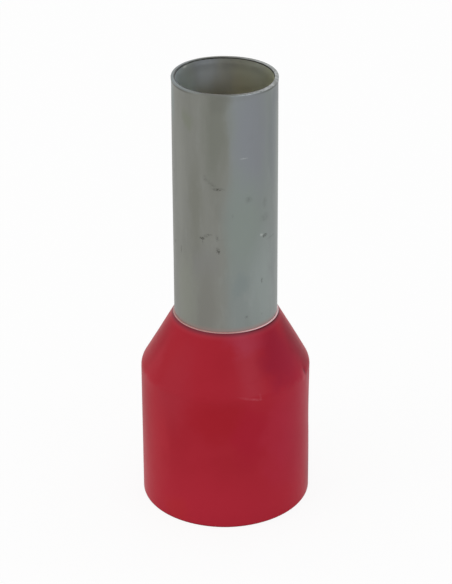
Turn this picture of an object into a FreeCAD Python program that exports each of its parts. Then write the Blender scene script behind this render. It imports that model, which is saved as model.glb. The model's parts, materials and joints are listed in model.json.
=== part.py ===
import FreeCAD, Part
import math
import os
import Sketcher

# Insulated wire ferrule for 10 square millimetre stranded wire, in millimetres.
# A tinned copper sleeve is held for good in a moulded plastic collar. The wire comes in through the
# collar's mouth, the inner cone and the sleeve's funnel lead its strands into the sleeve, and the
# sleeve's straight pin is crimped onto them. The collar then covers the end of the wire's insulation.
# The part stands on the collar's mouth. Z is the axis, and the origin is the centre of the mouth.

doc = FreeCAD.newDocument("wire_ferrule")

DRIVING_SIZES = [
    ("tube_bore", "4.5", "inside diameter of the sleeve"),
    ("tube_wall", "0.2", "wall of the sleeve"),
    ("pin_length", "11.9", "sleeve that stands out of the collar"),
    ("tip_bell", "0.03", "how far the cut tip opens, on the radius"),
    ("tip_bell_length", "0.3", "length over which the tip opens"),
    ("tip_edge_radius", "0.05", "rounding of both edges of the cut tip"),
    ("grip_length", "0.5", "neck that grips the sleeve, from its face to the funnel"),
    ("funnel_length", "1.4", "sleeve wall turned outward, along its slope"),
    ("funnel_bend_radius", "0.5", "outside radius of the bend into the funnel"),
    ("collar_length", "9.75", "collar from its mouth to the face of its neck"),
    ("skirt_bore", "7.3", "inside diameter of the collar's skirt"),
    ("skirt_wall", "0.41", "wall of the skirt"),
    ("mouth_edge_radius", "0.1", "rounding of both edges of the mouth"),
    ("shoulder_angle", "29.3", "degrees between the axis and the shoulder, and the funnel inside it"),
    ("shoulder_radius", "0.44", "rounding where the skirt meets the shoulder"),
    ("cone_radius", "0.4", "hollow rounding where the skirt's bore meets the inner cone"),
    ("neck_wall", "0.16", "lip of the neck round the sleeve"),
    ("neck_land", "0.19", "straight side of that lip"),
    ("neck_edge_radius", "0.04", "rounding of the lip's outer edge"),
]

sizes = doc.addObject("Spreadsheet::Sheet", "sizes")
for row, (alias, value, meaning) in enumerate(DRIVING_SIZES, start=1):
    sizes.set(f"A{row}", meaning)
    sizes.set(f"B{row}", value)
    sizes.setAlias(f"B{row}", alias)
doc.recompute()

# The ends of a line in a sketch, the sketch's own origin and its horizontal axis.
START = 1
END = 2
ORIGIN = (-1, START)
BASE_LINE = -1


def new_body(label):
    """A body with its own label, which also names its file."""
    body = doc.addObject("PartDesign::Body", label)
    body.Label = label
    return body


def half_profile(body, corners):
    """A sketch on the body's XZ plane with one closed outline, of a line from each corner to the next."""
    sketch = body.newObject("Sketcher::SketchObject", f"{body.Label}_profile")
    for plane in body.Origin.OriginFeatures:
        if plane.Role == "XZ_Plane":
            sketch.AttachmentSupport = (plane, "")
    sketch.MapMode = "FlatFace"
    points = [FreeCAD.Vector(radius, height, 0) for radius, height in corners]
    for first, second in zip(points, points[1:] + points[:1]):
        sketch.addGeometry(Part.LineSegment(first, second), False)
    for line in range(len(points)):
        sketch.addConstraint(Sketcher.Constraint("Coincident", line, END, (line + 1) % len(points), START))
    return sketch


def relate(sketch, kind, *lines):
    """A constraint that needs no size, such as Vertical or Parallel."""
    sketch.addConstraint(Sketcher.Constraint(kind, *lines))


def drive(sketch, name, expression, kind, *ends):
    """A constraint whose size is an expression of the sheet's cells."""
    value = sketch.evalExpression(expression)
    if kind == "Angle":
        value = math.radians(value)
    index = sketch.addConstraint(Sketcher.Constraint(kind, *ends, value))
    sketch.renameConstraint(index, name)
    sketch.setExpression(f"Constraints.{name}", expression)


def round_corner(sketch, name, expression, line):
    """Rounds the corner at the line's end. The sharp corner stays as a point that keeps its sizes."""
    sketch.fillet(line, END, sketch.evalExpression(expression), True, True, False)
    corner = len(sketch.Geometry) - 1
    drive(sketch, name, expression, "Radius", corner - 1)


def revolve(body, sketch):
    """The outline turned once about the axis."""
    turned = body.newObject("PartDesign::Revolution", f"{body.Label}_turned")
    turned.Profile = (sketch, [""])
    turned.ReferenceAxis = (sketch, ["V_Axis"])
    turned.Angle = 360


# Where the outlines' corners start. The constraints then hold every one of them to the sheet.
tube_bore_radius = sizes.tube_bore / 2
tube_radius = tube_bore_radius + sizes.tube_wall
skirt_bore_radius = sizes.skirt_bore / 2
skirt_radius = skirt_bore_radius + sizes.skirt_wall
neck_radius = tube_radius + sizes.neck_wall
slope = math.radians(sizes.shoulder_angle)
funnel_radius = tube_radius + sizes.funnel_length * math.sin(slope)
funnel_drop = sizes.funnel_length * math.cos(slope)
edge_radius = funnel_radius - sizes.tube_wall * math.cos(slope)
edge_drop = sizes.tube_wall * math.sin(slope)


def crimp_sleeve():
    """The drawn copper tube: a straight pin with a cut tip, and a tail turned outward into a funnel.

    Its own origin is on the axis at the face of the collar's neck, so that the pin is above it and
    the hidden tail below.
    """
    body = new_body("crimp_sleeve")
    bell_start = sizes.pin_length - sizes.tip_bell_length
    funnel_foot = -sizes.grip_length - funnel_drop
    corners = [
        (tube_bore_radius + sizes.tip_bell, sizes.pin_length),
        (tube_radius + sizes.tip_bell, sizes.pin_length),
        (tube_radius, bell_start),
        (tube_radius, -sizes.grip_length),
        (funnel_radius, funnel_foot),
        (edge_radius, funnel_foot - edge_drop),
        (tube_bore_radius, -sizes.grip_length - sizes.tube_wall * math.tan(slope / 2)),
        (tube_bore_radius, bell_start),
    ]
    tip, bell, outside, funnel, funnel_edge, funnel_inside, bore, bell_inside = range(len(corners))
    sketch = half_profile(body, corners)
    relate(sketch, "Horizontal", tip)
    relate(sketch, "Vertical", outside)
    relate(sketch, "Vertical", bore)
    relate(sketch, "Parallel", bell, bell_inside)
    relate(sketch, "Perpendicular", funnel, funnel_edge)
    relate(sketch, "Parallel", funnel, funnel_inside)
    drive(sketch, "bore_radius", "sizes.tube_bore / 2", "DistanceX", *ORIGIN, bore, START)
    drive(sketch, "wall", "sizes.tube_wall", "DistanceX", bore, END, outside, START)
    drive(sketch, "tip_wall", "sizes.tube_wall", "DistanceX", tip, START, tip, END)
    drive(sketch, "pin", "sizes.pin_length", "DistanceY", *ORIGIN, tip, START)
    drive(sketch, "bell_width", "sizes.tip_bell", "DistanceX", bell, END, bell, START)
    drive(sketch, "bell_height", "sizes.tip_bell_length", "DistanceY", bell, END, bell, START)
    drive(sketch, "grip", "sizes.grip_length", "DistanceY", outside, END, *ORIGIN)
    drive(sketch, "slope", "sizes.shoulder_angle", "Angle", outside, funnel)
    drive(sketch, "slant", "sizes.funnel_length", "Distance", funnel)
    drive(sketch, "edge_wall", "sizes.tube_wall", "Distance", funnel_edge)
    round_corner(sketch, "bend", "sizes.funnel_bend_radius", outside)
    round_corner(sketch, "bend_inside", "sizes.funnel_bend_radius + sizes.tube_wall", funnel_inside)
    round_corner(sketch, "tip_outer_edge", "sizes.tip_edge_radius", tip)
    round_corner(sketch, "tip_inner_edge", "sizes.tip_edge_radius", bell_inside)
    revolve(body, sketch)
    body.setExpression("Placement.Base.z", "sizes.collar_length")
    return body


def insulating_collar():
    """The moulded collar: a straight skirt, a conical shoulder and a neck with a thin lip.

    Inside, the skirt's bore narrows in a cone that runs flush into the sleeve's funnel. A ledge as deep
    as the sleeve's wall holds the funnel's edge, a seat cone backs the funnel, and the neck's bore grips
    the sleeve.
    """
    body = new_body("insulating_collar")
    land_foot = sizes.collar_length - sizes.neck_land
    seat_top = sizes.collar_length - sizes.grip_length
    ledge_height = seat_top - funnel_drop
    cone_top = ledge_height - edge_drop
    corners = [
        (skirt_bore_radius, 0),
        (skirt_radius, 0),
        (skirt_radius, land_foot - (skirt_radius - neck_radius) / math.tan(slope)),
        (neck_radius, land_foot),
        (neck_radius, sizes.collar_length),
        (tube_radius, sizes.collar_length),
        (tube_radius, seat_top),
        (funnel_radius, ledge_height),
        (edge_radius, cone_top),
        (skirt_bore_radius, cone_top - (skirt_bore_radius - edge_radius) / math.tan(slope)),
    ]
    mouth, skirt, shoulder, land, neck_face, neck_bore, seat, ledge, cone, bore = range(len(corners))
    sketch = half_profile(body, corners)
    relate(sketch, "Horizontal", mouth)
    relate(sketch, "PointOnObject", mouth, START, BASE_LINE)
    relate(sketch, "Vertical", skirt)
    relate(sketch, "Vertical", land)
    relate(sketch, "Horizontal", neck_face)
    relate(sketch, "Vertical", neck_bore)
    relate(sketch, "Parallel", shoulder, seat)
    relate(sketch, "Perpendicular", seat, ledge)
    relate(sketch, "Parallel", seat, cone)
    relate(sketch, "Vertical", bore)
    drive(sketch, "bore_radius", "sizes.skirt_bore / 2", "DistanceX", *ORIGIN, mouth, START)
    drive(sketch, "wall", "sizes.skirt_wall", "DistanceX", mouth, START, mouth, END)
    drive(sketch, "slope", "sizes.shoulder_angle", "Angle", skirt, shoulder)
    drive(sketch, "land_height", "sizes.neck_land", "DistanceY", land, START, land, END)
    drive(sketch, "length", "sizes.collar_length", "DistanceY", *ORIGIN, neck_face, START)
    drive(sketch, "lip", "sizes.neck_wall", "DistanceX", neck_face, END, neck_face, START)
    grip_radius = "sizes.tube_bore / 2 + sizes.tube_wall"
    drive(sketch, "grip_radius", grip_radius, "DistanceX", *ORIGIN, neck_bore, START)
    drive(sketch, "grip", "sizes.grip_length", "DistanceY", neck_bore, END, neck_bore, START)
    drive(sketch, "slant", "sizes.funnel_length", "Distance", seat)
    drive(sketch, "ledge_depth", "sizes.tube_wall", "Distance", ledge)
    round_corner(sketch, "mouth_outer_edge", "sizes.mouth_edge_radius", mouth)
    round_corner(sketch, "shoulder_corner", "sizes.shoulder_radius", skirt)
    round_corner(sketch, "lip_edge", "sizes.neck_edge_radius", land)
    round_corner(sketch, "seat_corner", "sizes.funnel_bend_radius", neck_bore)
    round_corner(sketch, "cone_corner", "sizes.cone_radius", cone)
    round_corner(sketch, "mouth_inner_edge", "sizes.mouth_edge_radius", bore)
    revolve(body, sketch)
    return body


pieces = [crimp_sleeve(), insulating_collar()]
doc.recompute()

for item in doc.Objects:
    if "Invalid" in item.State or "Error" in item.State:
        raise RuntimeError(f"{item.Label} did not build: {item.State}")
    if item.TypeId == "Sketcher::SketchObject" and not item.FullyConstrained:
        raise RuntimeError(f"{item.Label} is not fully constrained")
for piece in pieces:
    if piece.Shape.isNull() or not piece.Shape.isValid():
        raise RuntimeError(f"{piece.Label} has no valid shape")

os.makedirs("parts", exist_ok=True)
for piece in pieces:
    piece.Shape.exportStep(f"parts/{piece.Label}.step")
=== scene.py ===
import json
import math
import random

import bpy
import numpy as np
from mathutils import Matrix, Vector


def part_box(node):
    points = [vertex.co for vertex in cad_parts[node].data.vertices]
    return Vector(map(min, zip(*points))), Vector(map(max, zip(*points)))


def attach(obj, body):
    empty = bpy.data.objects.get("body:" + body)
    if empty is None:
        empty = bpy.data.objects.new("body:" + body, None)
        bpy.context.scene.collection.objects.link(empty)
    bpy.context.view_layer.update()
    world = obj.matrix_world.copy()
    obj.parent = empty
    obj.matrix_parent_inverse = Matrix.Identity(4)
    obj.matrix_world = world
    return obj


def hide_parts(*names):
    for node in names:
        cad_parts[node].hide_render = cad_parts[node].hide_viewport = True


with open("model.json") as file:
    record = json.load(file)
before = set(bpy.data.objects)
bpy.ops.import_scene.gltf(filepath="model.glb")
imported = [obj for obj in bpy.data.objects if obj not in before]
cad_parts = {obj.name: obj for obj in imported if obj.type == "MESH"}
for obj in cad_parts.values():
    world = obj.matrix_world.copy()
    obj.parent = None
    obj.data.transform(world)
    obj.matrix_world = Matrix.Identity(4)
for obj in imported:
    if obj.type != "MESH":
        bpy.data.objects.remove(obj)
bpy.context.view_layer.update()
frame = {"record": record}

# The crimp sleeve. It is one thin copper tube, drawn, cut to length and tinned. Its tail is turned
# outward into a funnel, which the collar hides. The tin has gone dull and carries small scuffs, and
# the cut has left a very slight bell and a bright edge round the tip, which carries a painted highlight.

# Lengths are in millimetres, and MM turns them into the scene's metres. A bore or an outside is given
# by its radius, and an angle by how far it lies round to the right from the front.
MM = 0.001

mounts = {mount["name"]: mount for mount in frame["record"]["mounts"]}
_, sleeve_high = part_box("crimp_sleeve")
_, collar_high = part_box("insulating_collar")

TUBE_BORE = mounts["conductor_bore"]["dims"]["r_mm"]
TUBE = mounts["contact_pin"]["dims"]["r_mm"]
TUBE_WALL = TUBE - TUBE_BORE
MIDDLE_OF_WALL = (TUBE + TUBE_BORE) / 2
TIP = sleeve_high[2] / MM
NECK_FACE = collar_high[2] / MM
GRIP = 0.5
BELL = 0.03
BELL_LENGTH = 0.3
TIP_EDGE = 0.05
FUNNEL_LENGTH = 1.4
FUNNEL_BEND = 0.5
SLOPE = math.radians(29.3)

TUBE_STEPS_ROUND = 320
TUBE_STEP = 0.068
BORE_STEP = 0.2
ARC_STEPS = 6
SHARP_FROM = math.radians(28)

LEAN = 0.032
LEAN_FROM = 6.6
LEAN_TO = 8.4


def rounded_outline(corners):
    """The closed outline through (radius, height, rounding, step) corners, as points.

    A corner with a rounding becomes an arc. The run that follows it is cut into pieces about as
    long as its step.
    """
    arcs = []
    for i, (radius, height, rounding, _) in enumerate(corners):
        corner = np.array([radius, height])
        if not rounding:
            arcs.append([corner])
            continue
        before = np.array(corners[i - 1][:2]) - corner
        after = np.array(corners[(i + 1) % len(corners)][:2]) - corner
        before /= np.linalg.norm(before)
        after /= np.linalg.norm(after)
        half = math.acos(np.clip(before @ after, -1, 1)) / 2
        inward = (before + after) / np.linalg.norm(before + after)
        centre = corner + inward * rounding / math.sin(half)
        start = corner + before * rounding / math.tan(half) - centre
        end = corner + after * rounding / math.tan(half) - centre
        turn = math.pi - 2 * half
        arc = []
        for step in range(ARC_STEPS + 1):
            share = step / ARC_STEPS
            blend = start * math.sin((1 - share) * turn) + end * math.sin(share * turn)
            arc.append(centre + blend / math.sin(turn))
        arcs.append(arc)
    points = []
    for arc, next_arc, (_, _, _, step) in zip(arcs, arcs[1:] + arcs[:1], corners):
        run = next_arc[0] - arc[-1]
        pieces = max(1, round(float(np.linalg.norm(run)) / step))
        points += arc
        points += [arc[-1] + run * piece / pieces for piece in range(1, pieces)]
    return np.array(points)


def turned_mesh(name, outline, steps_round, unevenness):
    """The outline turned about the axis into one closed mesh.

    unevenness takes the angle, the radius and the height of every point, and returns the radius and
    the height that the worn piece has there.
    """
    angle = np.arange(steps_round) * (2 * math.pi / steps_round)
    radius, height = unevenness(angle[None, :], outline[:, :1], outline[:, 1:])
    x = radius * np.sin(angle) + lean(height)
    y = -radius * np.cos(angle)
    z = height + 0 * x
    places = np.stack([x, y, z], axis=-1).reshape(-1, 3) * MM
    rows = len(outline)
    faces = []
    for row in range(rows):
        this_row = row * steps_round
        next_row = (row + 1) % rows * steps_round
        for step in range(steps_round):
            beside = (step + 1) % steps_round
            faces.append((this_row + step, next_row + step, next_row + beside, this_row + beside))
    mesh = bpy.data.meshes.new(name)
    mesh.from_pydata(places.tolist(), [], faces)
    mesh.polygons.foreach_set("use_smooth", [True] * len(faces))
    mesh.set_sharp_from_angle(angle=SHARP_FROM)
    mesh.update()
    piece = bpy.data.objects.new(name, mesh)
    bpy.context.scene.collection.objects.link(piece)
    return piece


def lean(height):
    """How far the part's upper half stands to the right of its foot."""
    rise = np.clip((height - LEAN_FROM) / (LEAN_TO - LEAN_FROM), 0, 1)
    return LEAN * rise * rise * (3 - 2 * rise)


def bump_at(angle, height, oval, radius):
    """A soft bump of height 1 on a surface of this radius, for dents in a mesh.

    The oval is given by its degrees round from the front, its height, half width and half height.
    """
    at_degrees, at_height, half_width, half_height = oval
    across = (angle - math.radians(at_degrees) + math.pi) % (2 * math.pi) - math.pi
    return np.exp(-(across * radius / half_width) ** 2 - ((height - at_height) / half_height) ** 2)


# Marks on the outside of the tube: degrees round from the front, height, half width, half height, how
# much of the tin's light is lost, where a loss below 0 is a painted glint, and the depth of the dent.
TUBE_MARKS = [
    (-6.8, 17.06, 0.27, 0.07, 0.66, 0.012),
    (-12.0, 17.23, 0.17, 0.07, 0.34, 0.003),
    (-15.5, 17.35, 0.17, 0.07, 0.30, 0.003),
    (-19.0, 17.48, 0.15, 0.07, 0.30, 0.003),
    (-21.5, 17.62, 0.10, 0.11, 0.28, 0.003),
    (26.6, 16.45, 0.18, 0.17, 0.38, 0.005),
    (47.8, 16.09, 0.16, 0.25, 0.30, 0.003),
    (47.9, 15.33, 0.30, 0.22, 0.30, 0.003),
    (48.4, 14.40, 0.14, 0.08, 0.95, 0.014),
    (60.0, 14.16, 0.34, 0.04, 0.38, 0.003),
    (-25.0, 14.54, 0.13, 0.07, 0.66, 0.010),
    (-24.5, 14.36, 0.03, 0.16, 0.45, 0.003),
    (-21.0, 14.68, 0.13, 0.06, 0.42, 0.004),
    (-17.0, 14.77, 0.15, 0.04, 0.50, 0.004),
    (-8.1, 14.64, 0.08, 0.16, 0.42, 0.003),
    (-2.0, 14.55, 0.24, 0.04, 0.16, 0.000),
    (-7.6, 14.02, 0.08, 0.16, 0.58, 0.008),
    (-5.8, 13.90, 0.06, 0.09, 0.55, 0.006),
    (-56.0, 13.57, 0.05, 0.20, 0.48, 0.004),
    (-72.0, 17.30, 0.10, 0.14, 0.40, 0.005),
    (-70.0, 13.75, 0.08, 0.12, 0.40, 0.005),
    (43.8, 12.15, 0.05, 0.13, 0.58, 0.005),
    (44.1, 10.40, 0.06, 0.06, 0.30, 0.003),
    (24.0, 10.47, 0.10, 0.08, 0.42, 0.004),
    (8.7, 15.70, 0.05, 0.14, 0.28, 0.002),
    (29.4, 19.49, 0.18, 0.18, 0.14, 0.002),
    (21.2, 18.53, 0.20, 0.03, -0.34, 0.002),
    (43.0, 14.50, 0.09, 0.06, -0.50, -0.006),
]

# Marks of the same kind where the photograph doesn't look, drawn at random between these limits.
BACK_MARKS = 9
BACK_MARK_LIMITS = [
    (105, 255),
    (NECK_FACE + 0.8, TIP - 1.2),
    (0.05, 0.2),
    (0.03, 0.12),
    (0.2, 0.65),
    (0.003, 0.01),
]
chance = random.Random(7)
for _ in range(BACK_MARKS):
    TUBE_MARKS.append(tuple(chance.uniform(low, high) for low, high in BACK_MARK_LIMITS))

# The collar holds the tube round, and over HELD_LENGTH above it the tube turns slightly oval. The
# cutter has pinched its end towards PINCH_SIDES sides and has cut it at a slant.
HELD_LENGTH = 3.0
OUT_OF_ROUND = 0.006
OVAL_TURN = 0.6
PINCH = 0.02
PINCH_LENGTH = 1.5
PINCH_SIDES = 4
PINCH_TO_RIGHT = 0.3
CUT_SLANT = 0.02
CUT_SLANT_LENGTH = 1.0

# The burr's waves: how many go round, their size and where they start.
BURR = 0.008
BURR_MEAN = 0.2
BURR_SWING = 0.5
BURR_WAVES = [(3, 1.0, 1.0), (8, 0.6, 2.2), (17, 0.4, 0.0)]


def sleeve_unevenness(angle, radius, height):
    """Slightly oval, pinched by the cut and dented at its marks, with a slanted and burred edge."""
    free = np.clip((height - NECK_FACE) / HELD_LENGTH, 0, 1)
    pinch = PINCH * np.exp((height - TIP) / PINCH_LENGTH) * free
    pinch = pinch * (np.cos(PINCH_SIDES * angle) - PINCH_TO_RIGHT * np.sin(angle))
    oval = OUT_OF_ROUND * np.cos(2 * angle + OVAL_TURN) * free
    dents = 0 * angle + 0 * radius
    for *place, _, depth in TUBE_MARKS:
        dents = dents + depth * bump_at(angle, height, place, TUBE)
    outside = (height > NECK_FACE + TIP_EDGE) & (radius > MIDDLE_OF_WALL)
    near_tip = np.clip((height - TIP + 2 * TIP_EDGE) / (2 * TIP_EDGE), 0, 1)
    slant = CUT_SLANT * np.clip(1 + (height - TIP) / CUT_SLANT_LENGTH, 0, 1) * (1 + np.sin(angle))
    ragged = sum(size * np.sin(count * angle + start) for count, size, start in BURR_WAVES)
    burr = BURR * near_tip * np.clip(BURR_MEAN + BURR_SWING * ragged, 0, 1)
    return radius + oval - pinch - np.where(outside, dents, 0), height - burr - slant


funnel_foot = NECK_FACE - GRIP - FUNNEL_LENGTH * math.cos(SLOPE)
funnel_rim = TUBE + FUNNEL_LENGTH * math.sin(SLOPE)
funnel_inner_foot = funnel_foot - TUBE_WALL * math.sin(SLOPE)
funnel_inner_rim = funnel_rim - TUBE_WALL * math.cos(SLOPE)
inner_bend = NECK_FACE - GRIP - TUBE_WALL * math.tan(SLOPE / 2)
sleeve_outline = rounded_outline([
    (TUBE_BORE + BELL, TIP, TIP_EDGE, TUBE_STEP),
    (TUBE + BELL, TIP, TIP_EDGE, TUBE_STEP),
    (TUBE, TIP - BELL_LENGTH, 0, TUBE_STEP),
    (TUBE, NECK_FACE - GRIP, FUNNEL_BEND, BORE_STEP),
    (funnel_rim, funnel_foot, 0, TUBE_STEP),
    (funnel_inner_rim, funnel_inner_foot, 0, BORE_STEP),
    (TUBE_BORE, inner_bend, FUNNEL_BEND + TUBE_WALL, BORE_STEP),
    (TUBE_BORE, TIP - BELL_LENGTH, 0, TUBE_STEP),
])
sleeve = turned_mesh("tinned_tube", sleeve_outline, TUBE_STEPS_ROUND, sleeve_unevenness)


class Signal:
    """One output of a material's nodes. Python's operators on it add the Math nodes."""

    def __init__(self, tree, output=None):
        self.tree = tree
        self.output = output

    def node(self, kind, settings, inputs, output=0):
        """A node of this kind. Its settings come first, then the values or links of its sockets."""
        made = self.tree.nodes.new(kind)
        for name, value in settings.items():
            setattr(made, name, value)
        for name, value in inputs.items():
            if isinstance(value, Signal):
                self.tree.links.new(value.output, made.inputs[name])
            else:
                made.inputs[name].default_value = value
        return Signal(self.tree, made.outputs[output] if made.outputs else None)

    def math(self, operation, first, second=0.0):
        return self.node("ShaderNodeMath", {"operation": operation}, {0: first, 1: second})

    def __add__(self, other):
        return self.math("ADD", self, other)

    def __sub__(self, other):
        return self.math("SUBTRACT", self, other)

    def __rsub__(self, other):
        return self.math("SUBTRACT", other, self)

    def __mul__(self, other):
        return self.math("MULTIPLY", self, other)

    def __neg__(self):
        return self.math("MULTIPLY", self, -1.0)

    __radd__ = __add__
    __rmul__ = __mul__

    def smooth(self, low, high):
        """Rises softly from 0 where the signal is low to 1 where it is high."""
        limits = {"Value": self, "From Min": low, "From Max": high}
        return self.node("ShaderNodeMapRange", {"interpolation_type": "SMOOTHSTEP"}, limits)

    def sway(self, amount):
        """Noise around 0.5 as noise around 0, this many times as strong."""
        return (self - 0.5) * amount

    def tint(self, colour, other):
        """The colour where this mask is 0, and the other colour where it is 1."""
        return self.node("ShaderNodeMix", {"data_type": "RGBA"}, {0: self, 6: colour, 7: other}, 2)

    def noise(self, place, scale, detail, roughness):
        """Even noise around 0.5 at this many grains for each unit of place."""
        sockets = {"Vector": place, "Scale": scale, "Detail": detail, "Roughness": roughness}
        return self.node("ShaderNodeTexNoise", {}, sockets)


def screen(red, green, blue):
    """A colour given as a screen shows it, 0 to 255, as the linear light that a socket takes."""
    light = []
    for part in (red, green, blue):
        part = part / 255
        light.append(part / 12.92 if part <= 0.04045 else ((part + 0.055) / 1.055) ** 2.4)
    return (*light, 1.0)


def finish_on(piece, name):
    """A new material on the piece.

    Returns its nodes and the places on it: the spot, the angle, the distance from the axis and the
    height.
    """
    material = bpy.data.materials.new(name)
    material.use_nodes = True
    material.node_tree.nodes.clear()
    piece.data.materials.append(material)
    nodes = Signal(material.node_tree)
    spot = nodes.node("ShaderNodeTexCoord", {}, {}, "Object")
    spot = nodes.node("ShaderNodeVectorMath", {"operation": "SCALE"}, {0: spot, "Scale": 1 / MM})
    x = nodes.node("ShaderNodeSeparateXYZ", {}, {0: spot}, "X")
    y = nodes.node("ShaderNodeSeparateXYZ", {}, {0: spot}, "Y")
    height = nodes.node("ShaderNodeSeparateXYZ", {}, {0: spot}, "Z")
    angle = nodes.math("ARCTAN2", x, -y)
    radius = nodes.math("SQRT", x * x + y * y)
    return nodes, spot, angle, radius, height


def surface(nodes, settings, bump_height):
    """The Principled surface with its bump on the material's output."""
    bump = nodes.node("ShaderNodeBump", {}, {"Strength": 1.0, "Distance": MM, "Height": bump_height})
    shader = nodes.node("ShaderNodeBsdfPrincipled", {}, {**settings, "Normal": bump})
    nodes.node("ShaderNodeOutputMaterial", {}, {"Surface": shader})


def patch_on(angle, height, oval, radius, softness):
    """A mask that is 1 in the middle of an oval and 0 outside, on a surface of this radius.

    The oval is given by its degrees round from the front, its height, half width and half height.
    """
    at_degrees, at_height, half_width, half_height = oval
    across = 1 - angle.math("COSINE", angle - math.radians(at_degrees))
    along = (height - at_height) * (1 / half_height)
    far = angle.math("SQRT", across * (2 * (radius / half_width) ** 2) + along * along)
    return 1 - far.smooth(1 - softness, 1 + softness)


def drawn_out(nodes, spot, share):
    """The spot with only this share of its height, so that noise on it runs along the tube."""
    sockets = {"Vector": spot, "Scale": (1.0, 1.0, share)}
    return nodes.node("ShaderNodeMapping", {"vector_type": "POINT"}, sockets)


nodes, spot, angle, radius, height = finish_on(sleeve, "dull_tin")

# The tin's colour is uneven: warm on one side, cool on the other, in soft patches drawn out along the
# tube, partly from the tin's own dulling and partly as painted reflection of the surroundings.
# Degrees round from the front, height, half width, half height, colour, amount.
TIN_WARM = screen(128, 129, 123)
TIN_COOL = screen(128, 134, 131)
TIN_DARK = screen(113, 114, 107)
TIN_PALE = screen(141, 143, 139)
TIN_PATCHES = [
    (30, 19.7, 0.85, 3.00, screen(126, 129, 133), 0.9),
    (-10, 19.9, 0.48, 2.60, screen(116, 118, 110), 0.9),
    (-5, 21.4, 0.50, 0.50, screen(110, 111, 104), 0.6),
    (-44, 20.3, 0.35, 0.45, screen(121, 125, 111), 0.6),
    (-58, 17.2, 0.45, 2.90, screen(136, 137, 131), 0.7),
    (-33, 16.0, 0.32, 2.10, screen(121, 122, 114), 0.8),
    (-22, 13.3, 0.60, 0.80, screen(126, 126, 123), 0.6),
    (21, 15.0, 0.80, 2.30, screen(127, 135, 129), 0.8),
    (50, 11.8, 0.80, 2.20, screen(138, 145, 142), 0.9),
    (18, 12.0, 0.35, 0.45, screen(122, 130, 128), 0.7),
    (-21, 11.0, 0.42, 1.90, screen(123, 123, 117), 0.9),
    (-50, 11.4, 0.60, 2.00, screen(133, 135, 126), 0.8),
    (150, 18.0, 0.70, 2.60, screen(137, 139, 136), 0.7),
    (-80, 14.0, 0.65, 6.00, screen(115, 116, 110), 0.7),
    (-72, 17.4, 0.35, 2.30, screen(117, 118, 113), 0.5),
    (74, 21.2, 0.42, 0.90, screen(104, 108, 111), 0.6),
    (64, 19.3, 0.45, 2.60, screen(116, 120, 124), 0.6),
    (68, 12.8, 0.45, 3.20, screen(122, 126, 126), 0.5),
    (-78, 21.0, 0.40, 0.90, screen(118, 129, 127), 0.7),
    (195, 13.0, 0.60, 2.40, screen(121, 122, 115), 0.8),
    (228, 19.0, 0.45, 2.00, screen(138, 138, 131), 0.7),
    (118, 12.4, 0.50, 2.20, screen(122, 129, 127), 0.7),
]
BORE_COOL = screen(196, 200, 205)
BORE_OLIVE = screen(219, 208, 180)
BORE_FAR_LEFT = screen(222, 236, 238)
BORE_FAR_RIGHT = screen(230, 231, 200)
BORE_BROWN = screen(180, 174, 158)
BORE_MOUTH_COOL = screen(189, 192, 197)
BORE_MOUTH_OLIVE = screen(209, 206, 187)
BORE_SHADE = screen(60, 60, 57)
RIM_DULL = screen(108, 109, 104)
RIM_HIGHLIGHT = screen(182, 185, 185)
RIM_COOL_REFLECTION = screen(128, 136, 138)
SCUFF_AND_SHADOW = screen(56, 54, 49)
GLINT = screen(190, 194, 190)
GLINT_INSIDE = screen(252, 252, 252)
EDGE_SHADE = screen(32, 31, 28)
COLLAR_REFLECTION = screen(150, 124, 119)
FLASH_HIGHLIGHT = screen(214, 168, 168)
TIN_ROUGHNESS = 0.42

# Noise that runs along the tube sees only this share of the height.
CLOUD_SHARE = 0.3
DRAWING_LINE_SHARE = 0.02

# A soft edge reaches this share of an oval's size to both sides.
PATCH_SOFTNESS = 0.65
MARK_SOFTNESS = 0.75
SCRATCH_SOFTNESS = 0.6

# These pairs say where something begins and where it is full or, for a name in END, where it is still
# whole and where it has stopped. First, the values of noise.
PATCHY = (0.52, 0.72)
GRITTY = (0.3, 0.62)
BLOTCHY = (0.35, 0.65)
EDGE_SHADE_BLOTCHES = (0.35, 0.6)

# Sides of the tube: the first two by the angle in radians, the others by its sine, which is 1 on the
# right, or by its cosine, which is 1 in front. The left and the back take them with the sign turned,
# and both sides together by the sine squared.
COOL_SIDE = (-0.1, 0.2)
COOL_SIDE_END = (2.2, 2.8)
OLIVE_SIDE = (-0.5, 0.5)
BROWN_RIGHT_END = (-0.15, 0.3)
BROWN_LEFT_END = (0.4, 0.8)
FAR_RIGHT = (0.6, 1.0)
FAR_LEFT = (0.5, 0.9)
BACK_SHADE = (0.3, 0.95)
RIM_RIGHT = (0.1, 0.9)
RIM_LEFT = (0.3, 0.9)
EDGE_SHADE_RIGHT = (0.2, 0.8)
EDGE_SHADE_BACK = (0.86, 0.98)
EDGE_SHADE_FRONT_END = (0.955, 0.995)
UNDER_RIM_SIDES = (0.2, 0.7)

# Bands by height. The first six are measured from the cut.
RIM_BAND = (-0.06, -0.03)
BORE_END = (-0.08, -0.05)
BACK_SHADE_BAND = (-0.75, -0.05)
EDGE_SHADE_BAND = (-0.07, -0.05)
UNDER_RIM_BAND = (-0.16, -0.10)
UNDER_RIM_END = (-0.065, -0.035)
BROWN_END = (TIP - 2.4, TIP - 0.4)
MOUTH_BAND = (TIP - 1.8, TIP)
NECK_START = (NECK_FACE - 0.1, NECK_FACE - 0.05)
COLLAR_REFLECTION_END = (NECK_FACE + 0.02, NECK_FACE + 0.3)
FLASH_END = (NECK_FACE + 0.01, NECK_FACE + 0.035)

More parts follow.
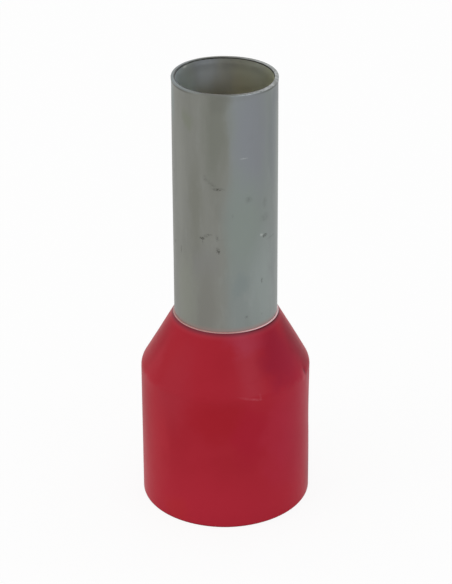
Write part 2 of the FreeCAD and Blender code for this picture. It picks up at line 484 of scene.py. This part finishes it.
# The painted shade on the inner edge of the tip: how far it reaches out, and how much farther in
# front and on the right. Then a bright scratch in the bore with a painted glint, and how deep the
# grain and the drawing lines are.
EDGE_SHADE_REACH = 0.012
EDGE_SHADE_REACH_IN_FRONT = 0.025
EDGE_SHADE_REACH_ON_RIGHT = 0.01
EDGE_SHADE_FADE = 0.01
BORE_SCRATCH = (-127, TIP - 0.13, 0.16, 0.05)
GRAIN_DEPTH = 0.0012
DRAWING_LINE_DEPTH = 0.0016

# How much of each tint is laid on.
PATCHY_AMOUNT = 0.25
FAR_SIDE_AMOUNT = 0.9
FAR_SIDE_LOSS_AT_MOUTH = 0.45
BACK_SHADE_AMOUNT = 0.55
SCRATCH_AMOUNT = 0.6
RIM_AMOUNT = 0.8
UNDER_RIM_AMOUNT = 0.55
COLLAR_REFLECTION_AMOUNT = 0.6

along_tube = drawn_out(nodes, spot, CLOUD_SHARE)
clouds = nodes.noise(along_tube, scale=0.9, detail=3.0, roughness=0.55)
streaks = nodes.noise(along_tube, scale=2.2, detail=3.0, roughness=0.6)
along_lines = drawn_out(nodes, spot, DRAWING_LINE_SHARE)
drawing_lines = nodes.noise(along_lines, scale=9.0, detail=2.0, roughness=0.6)
grain = nodes.noise(spot, scale=22.0, detail=3.0, roughness=0.6)
blotches = nodes.noise(spot, scale=5.0, detail=3.0, roughness=0.65)
to_right = nodes.math("SINE", angle)
to_front = nodes.math("COSINE", angle)

# Painted reflection with the tin's dulling: warm on the left and cool on the right, then the patches.
side = angle + clouds.sway(0.5)
cool_side = side.smooth(*COOL_SIDE) * (1 - side.smooth(*COOL_SIDE_END))
colour = cool_side.tint(TIN_WARM, TIN_COOL)
colour = (streaks.smooth(*PATCHY) * PATCHY_AMOUNT).tint(colour, TIN_PALE)
colour = (clouds.smooth(*PATCHY) * PATCHY_AMOUNT).tint(colour, TIN_DARK)

wavering_angle = angle + streaks.sway(0.3) + blotches.sway(0.06)
wavering_height = height + clouds.sway(2.0) + blotches.sway(0.5)
for *place, tint, amount in TIN_PATCHES:
    patch = patch_on(wavering_angle, wavering_height, place, TUBE, PATCH_SOFTNESS)
    colour = (patch * amount).tint(colour, tint)

ragged_angle = angle + blotches.sway(0.06)
ragged_height = height + grain.sway(0.12)
outside = radius.smooth(MIDDLE_OF_WALL, MIDDLE_OF_WALL + TUBE_WALL / 4)
worn = 0.0
painted_glint = 0.0
for *place, loss, _ in TUBE_MARKS:
    mark = patch_on(ragged_angle, ragged_height, place, TUBE, MARK_SOFTNESS)
    if loss > 0:
        worn = mark * loss + worn
    else:
        painted_glint = mark * -loss + painted_glint
# Marks with a loss below 0 are painted glints, and the others dark scuffs.
colour = (painted_glint * outside).smooth(0.0, 1.0).tint(colour, GLINT)
worn = (worn * grain.smooth(*GRITTY) * outside).smooth(0.0, 1.0)
colour = worn.tint(colour, SCUFF_AND_SHADOW)

# Inside, the tin is painted brighter, as painted light in the bore, cool on the left and olive on the
# right as painted reflection, and brighter still at the far sides. It is brown far down in the middle
# and in painted shade at the back, close under the cut.
from_cut = height - TIP + (to_right + 1.0) * CUT_SLANT
inside = (1 - outside) * (1 - from_cut.smooth(*BORE_END))
across = nodes.math("SINE", angle + clouds.sway(0.8))
olive = across.smooth(*OLIVE_SIDE)
bore_colour = olive.tint(BORE_COOL, BORE_OLIVE)
in_middle = (1 - across.smooth(*BROWN_RIGHT_END)) * (1 - (-across).smooth(*BROWN_LEFT_END))
bore_colour = (in_middle * (1 - height.smooth(*BROWN_END))).tint(bore_colour, BORE_BROWN)
at_mouth = height.smooth(*MOUTH_BAND)
bore_colour = at_mouth.tint(bore_colour, olive.tint(BORE_MOUTH_COOL, BORE_MOUTH_OLIVE))
far_sides = FAR_SIDE_AMOUNT - at_mouth * FAR_SIDE_LOSS_AT_MOUTH
bore_colour = (across.smooth(*FAR_RIGHT) * far_sides).tint(bore_colour, BORE_FAR_RIGHT)
bore_colour = ((-across).smooth(*FAR_LEFT) * far_sides).tint(bore_colour, BORE_FAR_LEFT)
back_shade = from_cut.smooth(*BACK_SHADE_BAND) * (-to_front).smooth(*BACK_SHADE)
bore_colour = (back_shade * BACK_SHADE_AMOUNT).tint(bore_colour, BORE_SHADE)
# A bright scratch in the bore, with a painted glint on it.
scratch = patch_on(angle, height, BORE_SCRATCH, TUBE, SCRATCH_SOFTNESS)
bore_colour = (scratch * SCRATCH_AMOUNT).tint(bore_colour, GLINT_INSIDE)
colour = inside.tint(colour, bore_colour)

# The cut rim carries a painted highlight, brighter on the right, and a painted cool reflection on the
# left.
rim = from_cut.smooth(*RIM_BAND)
rim_highlight = to_right.smooth(*RIM_RIGHT) * (blotches.smooth(*BLOTCHY) * 0.8 + 0.2)
rim_colour = rim_highlight.tint(RIM_DULL, RIM_HIGHLIGHT)
rim_colour = (-to_right).smooth(*RIM_LEFT).tint(rim_colour, RIM_COOL_REFLECTION)
colour = (rim * RIM_AMOUNT).tint(colour, rim_colour)

# Painted shade lies on the inner edge of the tip, and its ring follows the oval and the pinch of the mesh.
at_right = to_right.smooth(*EDGE_SHADE_RIGHT)
shade_reach = (to_front + 1.0) * EDGE_SHADE_REACH_IN_FRONT + at_right * EDGE_SHADE_REACH_ON_RIGHT + EDGE_SHADE_REACH
pinched = (nodes.math("COSINE", angle * PINCH_SIDES) - to_right * PINCH_TO_RIGHT) * PINCH
pinched = pinched - nodes.math("COSINE", angle * 2 + OVAL_TURN) * OUT_OF_ROUND
inner_edge = radius + pinched - shade_reach
inner_edge = 1 - inner_edge.smooth(TUBE_BORE + BELL - EDGE_SHADE_FADE, TUBE_BORE + BELL + EDGE_SHADE_FADE)
inner_edge = inner_edge * (from_cut + at_right * 0.02).smooth(*EDGE_SHADE_BAND)
edge_shade_depth = blotches.smooth(*EDGE_SHADE_BLOTCHES) * 0.3 + (-to_front).smooth(*EDGE_SHADE_BACK) * 0.35 + 0.55
edge_shade_depth = edge_shade_depth + at_right * 0.3 - to_front.smooth(*EDGE_SHADE_FRONT_END) * 0.5
colour = (inner_edge * edge_shade_depth).tint(colour, EDGE_SHADE)

# Outside, a dark line of painted shadow runs under the rim on both sides. At the foot of the tube lie a
# painted red reflection of the collar and a thin flash of red plastic, painted pale as a highlight.
rim_shadow = from_cut.smooth(*UNDER_RIM_BAND) * (1 - from_cut.smooth(*UNDER_RIM_END)) * outside
at_sides = (to_right * to_right).smooth(*UNDER_RIM_SIDES)
colour = (rim_shadow * at_sides * UNDER_RIM_AMOUNT).tint(colour, SCUFF_AND_SHADOW)
at_neck = outside * height.smooth(*NECK_START)
collar_reflection = 1 - (height + blotches.sway(0.1)).smooth(*COLLAR_REFLECTION_END)
colour = (collar_reflection * at_neck * COLLAR_REFLECTION_AMOUNT).tint(colour, COLLAR_REFLECTION)
flash_highlight = 1 - (height + blotches.sway(0.02)).smooth(*FLASH_END)
colour = (flash_highlight * at_neck).tint(colour, FLASH_HIGHLIGHT)

roughness = TIN_ROUGHNESS + grain.sway(0.12) + streaks.sway(0.1) + worn * 0.2
bump_height = drawing_lines.sway(DRAWING_LINE_DEPTH) + grain.sway(GRAIN_DEPTH)
surface(nodes, {"Base Color": colour, "Metallic": 1.0, "Roughness": roughness}, bump_height)

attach(sleeve, "root")
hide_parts("crimp_sleeve")

# The insulating collar. It is one moulded piece of red polypropylene with a satin skin: a straight
# skirt, a conical shoulder and a thin lip round the tube. Inside, a cone leads into the funnel.
# The lip is painted pale as a highlight, and handling has left light scuffs on the corner, the one in
# front painted bright as a highlight too.

SKIRT_BORE = mounts["insulation_bore"]["dims"]["r_mm"]
SKIRT = collar_high[0] / MM
NECK_LIP = 0.06
NECK_LAND = 0.02
LIP_EDGE = 0.015
SHOULDER_ROUNDING = 0.6
CONE_ROUNDING = 0.4
MOUTH_EDGE = 0.1

COLLAR_STEPS_ROUND = 400
COLLAR_STEP = 0.1
LIP_STEP = 0.02

lip = TUBE + NECK_LIP
land_foot = NECK_FACE - NECK_LAND
shoulder_foot = land_foot - (SKIRT - lip) / math.tan(SLOPE)
cone_foot = funnel_inner_foot - (SKIRT_BORE - funnel_inner_rim) / math.tan(SLOPE)
collar_outline = rounded_outline([
    (TUBE, NECK_FACE, 0, LIP_STEP),
    (lip, NECK_FACE, LIP_EDGE, LIP_STEP),
    (lip, land_foot, 0, COLLAR_STEP),
    (SKIRT, shoulder_foot, SHOULDER_ROUNDING, COLLAR_STEP),
    (SKIRT, 0, MOUTH_EDGE, COLLAR_STEP),
    (SKIRT_BORE, 0, MOUTH_EDGE, BORE_STEP),
    (SKIRT_BORE, cone_foot, CONE_ROUNDING, BORE_STEP),
    (funnel_inner_rim, funnel_inner_foot, 0, COLLAR_STEP),
    (funnel_rim, funnel_foot, 0, BORE_STEP),
    (TUBE, NECK_FACE - GRIP, FUNNEL_BEND, BORE_STEP),
])

# Nicks on the shoulder's corner and the skirt: degrees round from the front, height, half width, half
# height and depth.
COLLAR_NICKS = [
    (71, 7.06, 0.14, 0.16, 0.035),
    (78, 6.50, 0.10, 0.25, 0.015),
    (-83, 6.10, 0.10, 0.30, 0.015),
    (163, 6.95, 0.20, 0.08, 0.020),
    (214, 3.60, 0.06, 0.16, 0.010),
]

# The moulding is true near its mouth and its neck. Between them it has shrunk in waves: how many go
# round, half their depth, where they start and how far they twist in a millimetre. It has sunk too, in
# one oval on the right, and the mouth rises there.
TRUE_ENDS = 1.0
SHRUNK_ABOVE_MOUTH = 3.0
SHRUNK_BELOW_NECK = 2.0
SHRINK_WAVES = [(2, 0.006, 0.4, 0.0), (3, 0.004, 0.0, 0.7)]
SINK = (90, 4.4, 3.0, 1.8)
SINK_DEPTH = 0.02
MOUTH_SLANT = 0.05
MOUTH_SLANT_LENGTH = 1.0


def collar_unevenness(angle, radius, height):
    """A moulding that has shrunk a little unevenly, with its sink, its nicks and its slanted mouth."""
    shown = np.clip((height - TRUE_ENDS) / SHRUNK_ABOVE_MOUTH, 0, 1)
    shown = shown * np.clip((NECK_FACE - TRUE_ENDS - height) / SHRUNK_BELOW_NECK, 0, 1)
    shrink = SINK_DEPTH * bump_at(angle, height, SINK, SKIRT)
    for count, half_depth, start, twist in SHRINK_WAVES:
        shrink = shrink + half_depth * (1 + np.sin(count * angle + start + twist * height))
    for *place, depth in COLLAR_NICKS:
        shrink = shrink + depth * bump_at(angle, height, place, SKIRT)
    rise = MOUTH_SLANT * np.clip(1 - height / MOUTH_SLANT_LENGTH, 0, 1) * np.clip(np.sin(angle), 0, 1)
    return radius - shrink * shown * np.where(radius > SKIRT_BORE, 1, 0), height + rise


collar = turned_mesh("moulded_collar", collar_outline, COLLAR_STEPS_ROUND, collar_unevenness)

nodes, spot, angle, _, height = finish_on(collar, "red_polypropylene")

PLASTIC_RED = screen(166, 37, 50)
PLASTIC_DEEP = screen(158, 32, 44)
FOOT_LIGHT = screen(173, 40, 55)
LIP_PALE = screen(200, 162, 157)
LIP_BRIGHT = screen(244, 214, 216)
LIP_SHADE = screen(84, 16, 26)
SHOULDER_SHADE = screen(84, 48, 58)
NICK_DARK = screen(96, 22, 40)
PALE_WEAR_AND_HIGHLIGHT = screen(190, 92, 104)

# Uneven places in the colour: some are the plastic's own, and many are painted light, shade and
# reflection, such as the dark patch high on the right of the shoulder, a painted dark reflection, and
# the pink sheen down the front of the shoulder. Degrees round from the front, height, half width on
# the skirt, half height, colour, amount.
COLLAR_PATCHES = [
    (51, 8.45, 1.35, 1.30, screen(147, 30, 51), 0.85),
    (19, 8.3, 0.60, 1.50, screen(167, 45, 59), 0.5),
    (-7, 5.8, 1.30, 1.10, screen(160, 29, 40), 0.7),
    (-54, 3.6, 0.70, 2.80, screen(172, 43, 55), 0.7),
    (-46, 8.0, 0.80, 1.10, screen(168, 39, 50), 0.6),
    (-66, 7.6, 0.60, 1.00, screen(176, 53, 65), 0.4),
    (64, 6.2, 0.55, 0.90, screen(168, 47, 61), 0.7),
    (17, 5.0, 0.80, 1.40, screen(164, 29, 49), 0.6),
    (-36, 0.6, 0.70, 0.60, screen(174, 43, 49), 0.5),
    (80, 8.2, 0.80, 1.50, screen(128, 23, 43), 0.7),
    (-78, 8.8, 0.70, 1.30, screen(152, 27, 43), 0.5),
    (86, 1.4, 0.80, 1.20, screen(140, 25, 39), 0.6),
    (62, 4.8, 1.50, 3.40, screen(171, 46, 71), 0.35),
    (38, 4.6, 0.80, 2.40, screen(174, 43, 65), 0.4),
    (20, 9.35, 1.30, 0.50, screen(168, 55, 76), 0.5),
    (140, 8.2, 1.00, 1.20, screen(160, 37, 53), 0.7),
    (190, 4.0, 1.20, 2.00, screen(170, 39, 51), 0.7),
    (240, 7.6, 0.80, 0.90, screen(150, 29, 47), 0.7),
    (105, 2.6, 0.90, 1.60, screen(160, 27, 41), 0.7),
    (-40, 7.0, 0.90, 1.80, screen(164, 48, 60), 0.4),
]

# Rings round the shoulder, rubbed pale and then darkened by painted shade towards the lip: where each
# starts and where it is full, colour, amount.
SHOULDER_RINGS = [
    (NECK_FACE - 0.38, NECK_FACE - 0.10, PALE_WEAR_AND_HIGHLIGHT, 0.16),
    (NECK_FACE - 0.24, NECK_FACE - 0.03, SHOULDER_SHADE, 0.65),
]

# Where something begins and where it is full or, for a name in END, where it is still whole and where
# it has stopped: by height, then the values of noise, then the sides by the angle's sine or cosine.
FOOT_LIGHT_END = (0.5, 4.5)
FOOT_SHADE_END = (0.03, 0.13)
CORNER_WEAR_BAND = (6.7, 6.95)
CORNER_WEAR_END = (6.95, 7.2)
UNDER_LIP_BAND = (NECK_FACE - 0.1, NECK_FACE - 0.05)
LIP_BAND = (NECK_FACE - 0.02, NECK_FACE - 0.01)
DEEP_CLOUDS = (0.35, 0.7)
WEAR_SPOTS = (0.4, 0.75)
SCUFF_HIGHLIGHT_GRAIN = (0.3, 0.6)
LIP_RIGHT = (0.1, 0.7)
WEAR_FRONT_END = (0.3, 0.9)

# The scuff on the corner, painted bright as a highlight, is two strokes with an upright one at their
# end: degrees round from the front, height, half width, half height and, for the strokes, an amount.
# They climb to the left by the climb given below for each radian, which looks level from above.
SCUFF_HIGHLIGHT_STROKES = [
    (17.0, 6.95, 0.48, 0.05, 0.7),
    (21.5, 6.95, 0.20, 0.06, 0.5),
]
SCUFF_HIGHLIGHT_UPRIGHT = (24.0, 7.0, 0.05, 0.13)
SCUFF_HIGHLIGHT_MIDDLE = math.radians(18)
SCUFF_HIGHLIGHT_CLIMB = 0.9

# How soft the ovals' edges are. Then the plastic pushed up beside a nick: how many degrees to the left
# it lies, how far down, as a share of the nick, and how much wider and how many times taller it is.
PLACE_SOFTNESS = 0.6
FAINT_SOFTNESS = 0.7
PUSHED_LEFT = 2.5
PUSHED_DOWN = 0.6
PUSHED_WIDER = 0.09
PUSHED_TALLER = 1.6
NICK_CORE = 0.7

# How much of each tint is laid on.
DEEP_AMOUNT = 0.5
PUSHED_AMOUNT = 0.35
NICK_AMOUNT = 0.6
WEAR_AMOUNT = 0.2
SCUFF_HIGHLIGHT_AMOUNT = 0.38
UPRIGHT_AMOUNT = 0.6
FOOT_SHADE_AMOUNT = 0.5
UNDER_LIP_AMOUNT = 0.1
UNDER_LIP_MORE_ON_RIGHT = 0.7

# The low index of refraction keeps the satin skin's gloss faint.
PLASTIC_ROUGHNESS = 0.36
PLASTIC_IOR = 1.11
PLASTIC_GRAIN_DEPTH = 0.0012
WAVE_DEPTH = 0.004

clouds = nodes.noise(spot, scale=0.5, detail=3.0, roughness=0.5)
waves = nodes.noise(spot, scale=1.2, detail=2.0, roughness=0.5)
grain = nodes.noise(spot, scale=14.0, detail=3.0, roughness=0.6)
blotches = nodes.noise(spot, scale=3.0, detail=3.0, roughness=0.6)
colour = (clouds.smooth(*DEEP_CLOUDS) * DEEP_AMOUNT).tint(PLASTIC_RED, PLASTIC_DEEP)
# Painted light: the skirt grows lighter towards its foot.
colour = (1 - height.smooth(*FOOT_LIGHT_END)).tint(colour, FOOT_LIGHT)

wavering_angle = angle + waves.sway(0.3) + blotches.sway(0.06)
wavering_height = height + waves.sway(0.8) + blotches.sway(0.3)
# The patches: the plastic's own colour, and painted light, shade and reflection.
for *place, tint, amount in COLLAR_PATCHES:
    patch = patch_on(wavering_angle, wavering_height, place, SKIRT, PLACE_SOFTNESS)
    colour = (patch * amount).tint(colour, tint)

# The nicks are dark, and plastic has been pushed up pale on their lower left.
ragged_angle = angle + blotches.sway(0.05)
ragged_height = height + blotches.sway(0.15)
for degrees, at_height, half_width, half_height, _ in COLLAR_NICKS:
    pushed_height = at_height - half_height * PUSHED_DOWN
    beside = (degrees - PUSHED_LEFT, pushed_height, half_width + PUSHED_WIDER, half_height * PUSHED_TALLER)
    pushed_up = patch_on(ragged_angle, ragged_height, beside, SKIRT, FAINT_SOFTNESS)
    colour = (pushed_up * PUSHED_AMOUNT).tint(colour, PALE_WEAR_AND_HIGHLIGHT)
    core = (degrees, at_height, half_width * NICK_CORE, half_height)
    nick = patch_on(ragged_angle, ragged_height, core, SKIRT, PLACE_SOFTNESS)
    colour = (nick * NICK_AMOUNT).tint(colour, NICK_DARK)

# The corner is worn pale in spots on the sides and the back, and one scuff runs along it in front,
# painted bright as a highlight.
corner_wear = height.smooth(*CORNER_WEAR_BAND) * (1 - height.smooth(*CORNER_WEAR_END))
corner_wear = corner_wear * blotches.smooth(*WEAR_SPOTS)
away_from_front = 1 - nodes.math("COSINE", angle).smooth(*WEAR_FRONT_END)
colour = (corner_wear * away_from_front * WEAR_AMOUNT).tint(colour, PALE_WEAR_AND_HIGHLIGHT)
level_height = height + (angle - SCUFF_HIGHLIGHT_MIDDLE) * SCUFF_HIGHLIGHT_CLIMB
scuff_and_highlight = patch_on(angle, ragged_height, SCUFF_HIGHLIGHT_UPRIGHT, SKIRT, PLACE_SOFTNESS) * UPRIGHT_AMOUNT
for *place, amount in SCUFF_HIGHLIGHT_STROKES:
    scuff_and_highlight = scuff_and_highlight + patch_on(ragged_angle, level_height, place, SKIRT, FAINT_SOFTNESS) * amount
colour = (scuff_and_highlight * grain.smooth(*SCUFF_HIGHLIGHT_GRAIN) * SCUFF_HIGHLIGHT_AMOUNT).tint(colour, PALE_WEAR_AND_HIGHLIGHT)

# Towards the lip the shoulder is rubbed pale and then in painted shade. The lip is painted pale as a
# highlight, brighter on the right, with painted shade under it.
for start, full, tint, amount in SHOULDER_RINGS:
    colour = (height.smooth(start, full) * amount).tint(colour, tint)
on_right = nodes.math("SINE", angle).smooth(*LIP_RIGHT)
under_lip = on_right * UNDER_LIP_MORE_ON_RIGHT + UNDER_LIP_AMOUNT
colour = (height.smooth(*UNDER_LIP_BAND) * under_lip).tint(colour, LIP_SHADE)
colour = height.smooth(*LIP_BAND).tint(colour, on_right.tint(LIP_PALE, LIP_BRIGHT))
# A thin line of painted shade runs round the foot.
at_foot = 1 - (height + blotches.sway(0.06)).smooth(*FOOT_SHADE_END)
colour = (at_foot * FOOT_SHADE_AMOUNT).tint(colour, LIP_SHADE)

roughness = PLASTIC_ROUGHNESS + grain.sway(0.08) + clouds.sway(0.1)
bump_height = grain.sway(PLASTIC_GRAIN_DEPTH) + waves.sway(WAVE_DEPTH)
surface(nodes, {"Base Color": colour, "Roughness": roughness, "IOR": PLASTIC_IOR}, bump_height)

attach(collar, "root")
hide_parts("insulating_collar")

# The floor is a plain pale sheet that the ferrule stands on, and it runs far out on all sides. It
# keeps the ferrule's shadow, and shows almost white to the camera and in gloss.

FLOOR_REACH = 3000
FLOOR_WHITENESS = 0.9
FLOOR_PAPER = (0.95, 0.95, 0.95, 1)
WHITE = (1, 1, 1, 1)


def seen_directly(nodes):
    """1 for a ray of the camera, or one that a glossy or clear surface has turned, and 0 for light."""
    seen = nodes.node("ShaderNodeLightPath", {}, {}, "Is Camera Ray")
    seen = seen + nodes.node("ShaderNodeLightPath", {}, {}, "Is Glossy Ray")
    seen = seen + nodes.node("ShaderNodeLightPath", {}, {}, "Is Transmission Ray")
    return nodes.math("MINIMUM", seen, 1.0)


reach = FLOOR_REACH * MM
floor_corners = [(-reach, -reach, 0), (reach, -reach, 0), (reach, reach, 0), (-reach, reach, 0)]
floor_mesh = bpy.data.meshes.new("floor")
floor_mesh.from_pydata(floor_corners, [], [(0, 1, 2, 3)])
floor = bpy.data.objects.new("floor", floor_mesh)
bpy.context.scene.collection.objects.link(floor)
floor_material = bpy.data.materials.new("pale_floor")
floor_material.use_nodes = True
floor_material.node_tree.nodes.clear()
floor_mesh.materials.append(floor_material)
nodes = Signal(floor_material.node_tree)
paper = nodes.node("ShaderNodeBsdfDiffuse", {}, {"Color": FLOOR_PAPER})
white = nodes.node("ShaderNodeEmission", {}, {"Color": WHITE, "Strength": 1.0})
whiteness = seen_directly(nodes) * FLOOR_WHITENESS
blend = nodes.node("ShaderNodeMixShader", {}, {0: whiteness, 1: paper, 2: white})
nodes.node("ShaderNodeOutputMaterial", {}, {"Surface": blend})

# The world is even white light from all around, as in a light tent. It shows full white behind the
# ferrule and in its gloss, and lights it a little less.

WORLD_LIGHT = 0.85

world = bpy.data.worlds.new("studio")
bpy.context.scene.world = world
world.use_nodes = True
world.node_tree.nodes.clear()
nodes = Signal(world.node_tree)
strength = seen_directly(nodes) * (1.0 - WORLD_LIGHT) + WORLD_LIGHT
background = nodes.node("ShaderNodeBackground", {}, {"Color": WHITE, "Strength": strength})
nodes.node("ShaderNodeOutputWorld", {}, {"Surface": background})

# Two soft boxes. The key box stands high on the left in front and lights the ferrule. The window
# stands on the right in front and only shows in gloss, as a faint cool sheen on the right side.

KEY_PLACE = (-200, -100, 200)
KEY_SIZE = (160, 160)
KEY_BRIGHTNESS = 1.1
WINDOW_PLACE = (136, -174, 125)
WINDOW_SIZE = (140, 100)
WINDOW_BRIGHTNESS = 5.6
WINDOW_COLOUR = (0.85, 0.95, 1.15)


def soft_box(name, place, size, brightness, colour=(1, 1, 1)):
    """A lamp of this brightness, aimed at the middle of the ferrule."""
    width, length = (side * MM for side in size)
    lamp = bpy.data.lights.new(name, "AREA")
    lamp.shape = "RECTANGLE"
    lamp.size = width
    lamp.size_y = length
    lamp.energy = brightness * math.pi * width * length
    lamp.color = colour
    box = bpy.data.objects.new(name, lamp)
    box.location = Vector(place) * MM
    aim = Vector((0, 0, TIP / 2)) - Vector(place)
    box.rotation_euler = aim.to_track_quat("-Z", "Y").to_euler()
    bpy.context.scene.collection.objects.link(box)
    return box


soft_box("key_box", KEY_PLACE, KEY_SIZE, KEY_BRIGHTNESS)
window = soft_box("window", WINDOW_PLACE, WINDOW_SIZE, WINDOW_BRIGHTNESS, WINDOW_COLOUR)
window.visible_diffuse = False

# The camera stands where the photograph was taken from, a hand's breadth away and looking down. Its
# place, its aim and its roll were fitted to the outlines in the photograph.

CAMERA_ELEVATION = math.radians(27.05)
CAMERA_DISTANCE = 107.06
CAMERA_AIM = (0.045, 0.0, 10.633)
CAMERA_ROLL = math.radians(-0.28)
CAMERA_NEAREST = 2.0
FOCAL_LENGTH = 139.2

camera_data = bpy.data.cameras.new("camera")
camera_data.lens = FOCAL_LENGTH
camera_data.clip_start = CAMERA_NEAREST * MM
camera = bpy.data.objects.new("camera", camera_data)
bpy.context.scene.collection.objects.link(camera)
back = CAMERA_DISTANCE * math.cos(CAMERA_ELEVATION)
lift = CAMERA_DISTANCE * math.sin(CAMERA_ELEVATION)
place = Vector(CAMERA_AIM) + Vector((0, -back, lift))
camera.matrix_world = (
    Matrix.Translation(place * MM)
    @ Matrix.Rotation(math.pi / 2 - CAMERA_ELEVATION, 4, "X")
    @ Matrix.Rotation(CAMERA_ROLL, 4, "Z")
)
bpy.context.scene.camera = camera
bpy.context.scene.view_settings.view_transform = "Standard"
